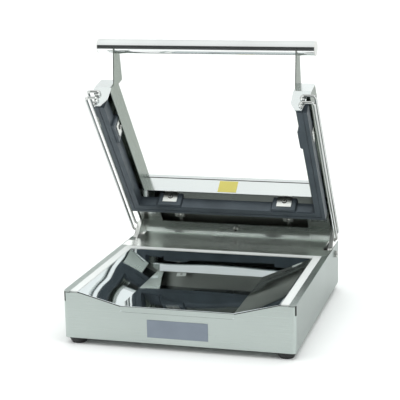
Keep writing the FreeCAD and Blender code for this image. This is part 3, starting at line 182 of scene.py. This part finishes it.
FINISHES = {
    "base_casing": satin, "bottom_plate": satin, "rear_panel": satin, "strip_carrier": satin,
    "rear_deck": deck, "hopper_pan": mirror, "seal_strip_rear": silicone,
    "name_plate": plate_blue, "foot_screws": zinc, "pivot_bolts": zinc, "pivot_nuts": zinc,
    "switch_body": black, "switch_rocker": black, "thermostat": black,
    "thermostat_shaft": zinc, "thermostat_knob": black, "cable_gland": black,
    "terminal_block": pale, "rear_hood": hood_sheet, "hood_underplate": under,
    "cross_plate": under, "cross_plate_screw": zinc, "blank_patch": yellow,
    "heater_casting": casting, "heating_element": sheath, "element_terminals": zinc,
    "clip_screws": zinc, "clip_hangers": zinc, "handle_tube": chrome,
}
PAIRED_FINISHES = {
    "seal_strip": silicone, "foot_front": rubber, "foot_rear": rubber, "hinge_bracket": zinc,
    "return_spring": wire, "hinge_cheek": clip, "pivot_bush": bronze, "side_plate": satin_arm,
    "arm_cover": satin_arm, "end_plate": bright, "rear_clip": clip, "arm_clip": arm_clip,
    "handle_cap": pale, "guard_rod_upper": rod, "guard_rod_lower": rod,
}
SIDES = {"left": -1, "right": 1}
for piece, finish in PAIRED_FINISHES.items():
    for side in SIDES:
        FINISHES[piece + "_" + side] = finish

for node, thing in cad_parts.items():
    finish = FINISHES[node]
    if not thing.material_slots:
        thing.data.materials.append(finish)
    for slot in thing.material_slots:
        slot.material = finish


# Pieces. Their lengths are in millimetres as the solids are drawn, with the head closed.

def add_object(name, data):
    thing = bpy.data.objects.new(name, data)
    bpy.context.scene.collection.objects.link(thing)
    return thing


def make(name, mesh, finish, body):
    thing = add_object(name, mesh)
    mesh.materials.append(finish)
    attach(thing, body)
    return thing


def on_base(point):
    """A drawn place on the base, in the frame's metres."""
    x, y, z = [value / 1000 for value in point]
    return Vector((x, y - ORIGIN_Y, z + FOOT))


def on_head(point):
    """A drawn place on the closed head, brought to where it stands open."""
    return Matrix.Rotation(-OPEN, 3, "X") @ (on_base(point) - PIVOT) + PIVOT


PLACES = {"base": on_base, "head": on_head, "knob": on_base}


def prism(name, axis, outline, start, end, finish, body):
    """An outline across two of the drawing's axes, run from start to end along the third."""
    bm = bmesh.new()
    rings = []
    for level in (start, end):
        ring = []
        for a, b in outline:
            point = {"x": (level, a, b), "y": (a, level, b), "z": (a, b, level)}[axis]
            ring.append(bm.verts.new(PLACES[body](point)))
        rings.append(ring)
    bm.faces.new(rings[0])
    bm.faces.new(rings[1])
    for k in range(len(outline)):
        after = (k + 1) % len(outline)
        bm.faces.new((rings[0][k], rings[0][after], rings[1][after], rings[1][k]))
    bmesh.ops.recalc_face_normals(bm, faces=bm.faces[:])
    mesh = bpy.data.meshes.new(name)
    bm.to_mesh(mesh)
    bm.free()
    return make(name, mesh, finish, body)


def shade_line(name, axis, outline, start, end, body="base"):
    """A dark line of painted shade along a gap, slit or fold between sheets."""
    prism(name, axis, outline, start, end, shade_and_print_dark, body)


def polygon(across, up, radius, corners=6):
    spots = []
    for k in range(corners):
        turn = 2 * math.pi * k / corners
        spots.append((across + radius * math.cos(turn), up + radius * math.sin(turn)))
    return spots


def rectangle(low_a, high_a, low_b, high_b):
    return [(low_a, low_b), (high_a, low_b), (high_a, high_b), (low_a, high_b)]


def mirrored(outline, side):
    return [(a * side, b) for a, b in outline]


# The base's box and the sheet that it is folded from.
HALF_WIDTH = 190.0
DEPTH = 390.0
TOP = 78.0
SHEET = 1.5
BEND = 6.0
FLANGE = 11.5
# A seam stands this far out of its sheet.
PROUD = 0.12


def corner_band(start, end):
    """A thin band round the right front corner of the casing, between two angles from the front."""
    steps = 6
    band = []
    for reach, turns in ((BEND + PROUD, range(steps + 1)), (BEND - SHEET, range(steps, -1, -1))):
        for k in turns:
            turn = math.radians(start + (end - start) * k / steps)
            band.append((HALF_WIDTH - BEND + reach * math.sin(turn),
                         BEND - reach * math.cos(turn)))
    return band


def add_seams():
    """Dark lines of painted shade: where the front meets the side flanges, in the corner slits and
    in the gap along the pan.
    """
    front_top = TOP - 2.1
    slit_low = TOP - 17.0
    flange_inner = HALF_WIDTH - FLANGE
    pan_half, floor_half, floor_under = 165.2, 93.0, 58.8
    # The left slit opens more to the front than the right one.
    slits = {"left": corner_band(22, 66), "right": corner_band(45, 88)}
    for name, side in SIDES.items():
        top = [(flange_inner, SHEET), (flange_inner, -PROUD)] + corner_band(0, 90)
        shade_line("front_seam_shade_" + name, "z", mirrored(top, side), front_top - 0.2, TOP - SHEET + 0.1)
        shade_line("corner_slit_shade_" + name, "z", mirrored(slits[name], side), slit_low, front_top)
        # Painted shade in the gap between the casing's slope and the pan.
        slope = [(floor_half, floor_under - 1.5), (pan_half, TOP - 1.5), (pan_half, TOP - 0.2),
                 (floor_half, floor_under - 0.2)]
        shade_line("pan_gap_shade_" + name, "y", mirrored(slope, side), -PROUD, SHEET)


def add_lip():
    """The satin face of the pan's front lip, and dark lines of painted shade along its folds above
    and below.
    """
    half, low, top, skin, cut = 92.8, 50.1, 58.5, -1.2, 2.5
    face = [(half, top), (-half, top), (-half, low + cut), (-half + cut, low), (half - cut, low),
            (half, low + cut)]
    prism("lip_face", "y", face, skin - 0.08, skin, satin, "base")
    shade_line("lip_fold_shade", "y", rectangle(-half, half, top, top + 0.8), skin - 0.05, skin)
    # A painted shadow under the lip.
    shade_line("lip_shadow", "y", rectangle(-half, half, low - 0.5, low - 0.1), -0.9, -0.02)


def add_beam():
    """The beam's upright upper edge, a dark line of painted shade along the fold under it, dark
    sheets of painted shade inside the beam and under the hood, and the trim.
    """
    roof, fold, low = 140.4, 133.4, 102.5
    edge = [(245.96, fold), (247.3, roof + 0.04), (253.2, roof + 0.04), (246.5, fold)]
    prism("beam_edge", "x", edge, -154.2, 154.2, bevel, "head")
    # Painted shade along the fold under the beam.
    shade_line("beam_fold_shade", "y", rectangle(-154.0, 154.0, fold - 1.7, fold - 0.1), 245.8, 246.2, "head")
    # Thin dark sheets over the inside of the beam and the hood, as painted shade.
    inside = [(247.6, 103.0), (247.6, 132.6), (253.6, 138.7), (291.5, 138.7), (310.0, 131.5),
              (310.0, 130.9), (291.5, 138.1), (253.9, 138.1), (248.2, 132.3), (248.2, 103.0)]
    hood_shade_outline = [(310.1, 131.5), (374.3, 106.6), (374.3, 106.0), (310.1, 130.9)]
    inner_half = 153.4
    for name, outline, finish in (("beam_painted_shade", inside, beam_shade),
                                  ("hood_painted_shade", hood_shade_outline, shade_grey)):
        prism(name, "x", outline, -inner_half, inner_half, finish, "head")
    tab = [(93.0, 313.0), (111.0, 313.0), (111.0, 322.0), (109.5, 323.5), (94.5, 323.5),
           (93.0, 322.0)]
    strap = [(145.0, 308.5), (176.0, 308.5), (176.0, 314.0), (163.0, 314.0), (163.0, 312.2),
             (158.0, 312.2), (158.0, 314.0), (145.0, 314.0)]
    # The necks take the painted-shade grey too.
    neck = rectangle(99.0, 105.0, 321.0, 339.0)
    trim = (("cavity_tab_", tab, low + 1.55, low + 2.5, clip),
            ("corner_strap_", strap, low - 2.8, low - 0.05, bright),
            ("cavity_neck_", neck, low + 2.4, low + 2.8, shade_grey))
    for name, side in SIDES.items():
        for piece, outline, start, end, finish in trim:
            prism(piece + name, "z", mirrored(outline, side), start, end, finish, "head")
        prism("cavity_tab_screw_" + name, "z", polygon(side * 102.0, 318.5, 2.6), low + 0.4,
              low + 1.55, zinc, "head")


def add_sockets():
    """Painted shade: dark discs for the key sockets in the screw and bolt heads, and dark rings of
    painted shadow behind the clip screws.
    """
    key, shadow_reach, shadow_corners = 2.2, 4.7, 16
    clip_up, rear_clip_across, arm_clip_place = 97.5, 105.0, 68.0
    for name, side in SIDES.items():
        across = side * rear_clip_across
        sockets = (
            ("rear_clip_socket_", "y", polygon(across, clip_up, key), 253.66, 253.8, "head"),
            ("rear_clip_screw_shadow_", "y", polygon(across, clip_up, shadow_reach, shadow_corners),
             255.2, 255.58, "head"),
            ("arm_clip_socket_", "x", polygon(arm_clip_place, clip_up, key),
             side * 154.16, side * 154.3, "head"),
            ("arm_clip_screw_shadow_", "x", polygon(arm_clip_place, clip_up, shadow_reach, shadow_corners),
             side * 155.7, side * 156.08, "head"),
            ("pivot_socket_", "x", polygon(357.0, 62.0, 2.6), side * 193.4, side * 193.53, "base"),
        )
        for piece, axis, outline, start, end, body in sockets:
            prism(piece + name, axis, outline, start, end, shade_and_print_dark, body)
    prism("cross_plate_socket", "z", polygon(0.0, 351.0, 2.0), 98.66, 98.8, shade_and_print_dark, "head")


def add_dial():
    """The knob's pointer and the plain marks round it on the rear panel."""
    across, up = 60.0, 38.0
    marks, sweep, half_mark = 10, 270, 0.45
    near_reach, short_reach, long_reach = 19.5, 23.0, 24.5
    prism("knob_pointer", "y", rectangle(across - 0.7, across + 0.7, up + 3.0, up + 11.0),
          DEPTH + 13.9, DEPTH + 14.08, white_mark, "knob")
    for k in range(marks):
        turn = math.radians(90 - sweep * k / (marks - 1))
        along = Vector((math.cos(turn), math.sin(turn)))
        beside = Vector((-along.y, along.x)) * half_mark
        near, far = along * near_reach, along * (short_reach if k % 3 else long_reach)
        mark = [near - beside, far - beside, far + beside, near + beside]
        prism("dial_mark_%d" % k, "y", [(across + spot.x, up + spot.y) for spot in mark],
              DEPTH - 0.05, DEPTH + 0.06, shade_and_print_dark, "base")


# Stage, light and camera, in metres

def smooth_mesh(name, bm):
    mesh = bpy.data.meshes.new(name)
    bm.to_mesh(mesh)
    bm.free()
    for face in mesh.polygons:
        face.use_smooth = True
    return mesh


def make_stage():
    """A pale floor that curves up into a wall well behind the object."""
    half, bend_start, bend, wall_top, steps = 12.0, 2.2, 1.2, 4.5, 12
    bm = bmesh.new()
    profile = [(-half, 0.0), (bend_start, 0.0)]
    for k in range(1, steps + 1):
        turn = math.radians(90 * k / steps)
        profile.append((bend_start + bend * math.sin(turn), bend - bend * math.cos(turn)))
    profile.append((bend_start + bend, wall_top))
    rows = [[bm.verts.new((x, y, z)) for x in (-half, half)] for y, z in profile]
    for low, high in zip(rows, rows[1:]):
        bm.faces.new((low[0], low[1], high[1], high[0]))
    mesh = smooth_mesh("backdrop", bm)
    floor = add_object("backdrop", mesh)
    paper = surface("pale_floor", (0.93, 0.935, 0.935), 0.0, 0.75, 0.04, (3, 3, 3), bump=0.02,
                    mottle=0.008)
    mesh.materials.append(paper)
    make_far_wall(paper)


def make_far_wall(paper):
    """A round wall far off, so that the floor ends in no dark horizon. Only the camera sees it."""
    corners = 64
    bm = bmesh.new()
    rows = []
    for radius, height in ((8.0, 0.002), (9.6, 0.2), (10.8, 0.8), (11.5, 2.0), (11.8, 8.0)):
        ring = polygon(0.0, 0.0, radius, corners)
        rows.append([bm.verts.new((x, y, height)) for x, y in ring])
    for low, high in zip(rows, rows[1:]):
        for k in range(corners):
            after = (k + 1) % corners
            bm.faces.new((low[k], high[k], high[after], low[after]))
    mesh = smooth_mesh("far_wall", bm)
    wall = add_object("far_wall", mesh)
    mesh.materials.append(paper)
    wall.visible_glossy = False
    wall.visible_diffuse = False
    wall.visible_shadow = False


def area_light(name, place, target, size, power, in_reflections=True):
    data = bpy.data.lights.new(name, "AREA")
    data.shape = "RECTANGLE"
    data.size, data.size_y = size
    data.energy = power
    light = add_object(name, data)
    light.location = place
    direction = Vector(target) - Vector(place)
    light.rotation_euler = direction.to_track_quat("-Z", "Y").to_euler()
    light.visible_glossy = in_reflections


def make_world():
    """The room that the metal mirrors."""
    world = bpy.data.worlds.new("studio")
    bpy.context.scene.world = world
    world.use_nodes = True
    tree = world.node_tree
    place = tree.nodes.new("ShaderNodeTexCoord")
    parts = tree.nodes.new("ShaderNodeSeparateXYZ")
    tree.links.new(place.outputs["Generated"], parts.inputs["Vector"])
    sky = tree.nodes.new("ShaderNodeValToRGB")
    # From straight down to straight up: a dim room near the horizon and a bright ceiling.
    stops = [(0.0, 0.40), (0.48, 0.45), (0.60, 0.50), (0.73, 0.92), (1.0, 1.05)]
    while len(sky.color_ramp.elements) < len(stops):
        sky.color_ramp.elements.new(0.5)
    for element, (spot, level) in zip(sky.color_ramp.elements, stops):
        element.position = spot
        element.color = (level * 0.97, level, level * 0.985, 1)
    tree.links.new(ramp(tree, parts.outputs["Z"], 0.0, 1.0, -1.0, 1.0), sky.inputs["Fac"])
    tree.links.new(sky.outputs["Color"], tree.nodes["Background"].inputs["Color"])
    tree.nodes["Background"].inputs["Strength"].default_value = 1.0


def make_lights():
    middle = (0.0, 0.0, 0.2)
    area_light("top_softbox", (0.2, -0.3, 2.2), middle, size=(2.2, 1.8), power=13.5,
               in_reflections=False)
    area_light("left_softbox", (-1.9, -1.0, 1.2), middle, size=(1.0, 1.4), power=9)
    area_light("right_softbox", (1.9, -0.9, 1.3), middle, size=(0.9, 1.2), power=7)
    area_light("wall_wash", (0.0, 1.4, 2.6), (0.0, 3.2, 0.8), size=(3.0, 0.8), power=30,
               in_reflections=False)


def make_flags():
    """Dark cards that only reflections see: one lies in front and three stand round the object."""
    dim = surface("flag_grey", (0.05, 0.052, 0.052), 0.0, 0.8, 0.02, (3, 3, 3), bump=0.02,
                  mottle=0.02)
    half, far, near, floor, tall = 2.6, -3.6, -0.7, 0.002, 2.1
    aside, front, back, low, high = 2.4, -0.4, 1.4, 0.8, 1.6
    corners = {
        "low_flag": [(x, y, floor) for x, y in rectangle(-half, half, far, near)],
        "standing_flag": [(x, far, z) for x, z in rectangle(-half, half, 0.0, tall)],
        "left_flag": [(-aside, y, z) for y, z in rectangle(front, back, low, high)],
        "right_flag": [(aside, y, z) for y, z in rectangle(front, back, low, high)],
    }
    for name, spots in corners.items():
        mesh = bpy.data.meshes.new(name)
        mesh.from_pydata(spots, [], [(0, 1, 2, 3)])
        card = add_object(name, mesh)
        mesh.materials.append(dim)
        card.visible_camera = False
        card.visible_diffuse = False
        card.visible_shadow = False


def make_camera():
    """The photograph's own view, solved from the corners of the base."""
    yaw = math.radians(15.866)
    pitch = math.radians(13.214)
    roll = math.radians(-1.203)
    place = (0.55287, -1.79879 - ORIGIN_Y, 0.67677 + FOOT)
    picture_width, focal_pixels = 400, 1258.4
    ahead = Vector((-math.sin(yaw) * math.cos(pitch), math.cos(yaw) * math.cos(pitch),
                    -math.sin(pitch)))
    level = Vector((math.cos(yaw), math.sin(yaw), 0))
    upright = level.cross(ahead)
    right = math.cos(roll) * level + math.sin(roll) * upright
    up = -math.sin(roll) * level + math.cos(roll) * upright
    data = bpy.data.cameras.new("photo_camera")
    data.sensor_fit = "HORIZONTAL"
    data.sensor_width = 36.0
    data.lens = data.sensor_width * focal_pixels / picture_width
    data.clip_end = 50
    camera = add_object("photo_camera", data)
    axes = Matrix((right, up, -ahead)).transposed().to_4x4()
    camera.matrix_world = Matrix.Translation(place) @ axes
    bpy.context.scene.camera = camera


add_seams()
add_lip()
add_beam()
add_sockets()
add_dial()
make_stage()
make_world()
make_lights()
make_flags()
make_camera()
bpy.context.scene.view_settings.view_transform = "Standard"
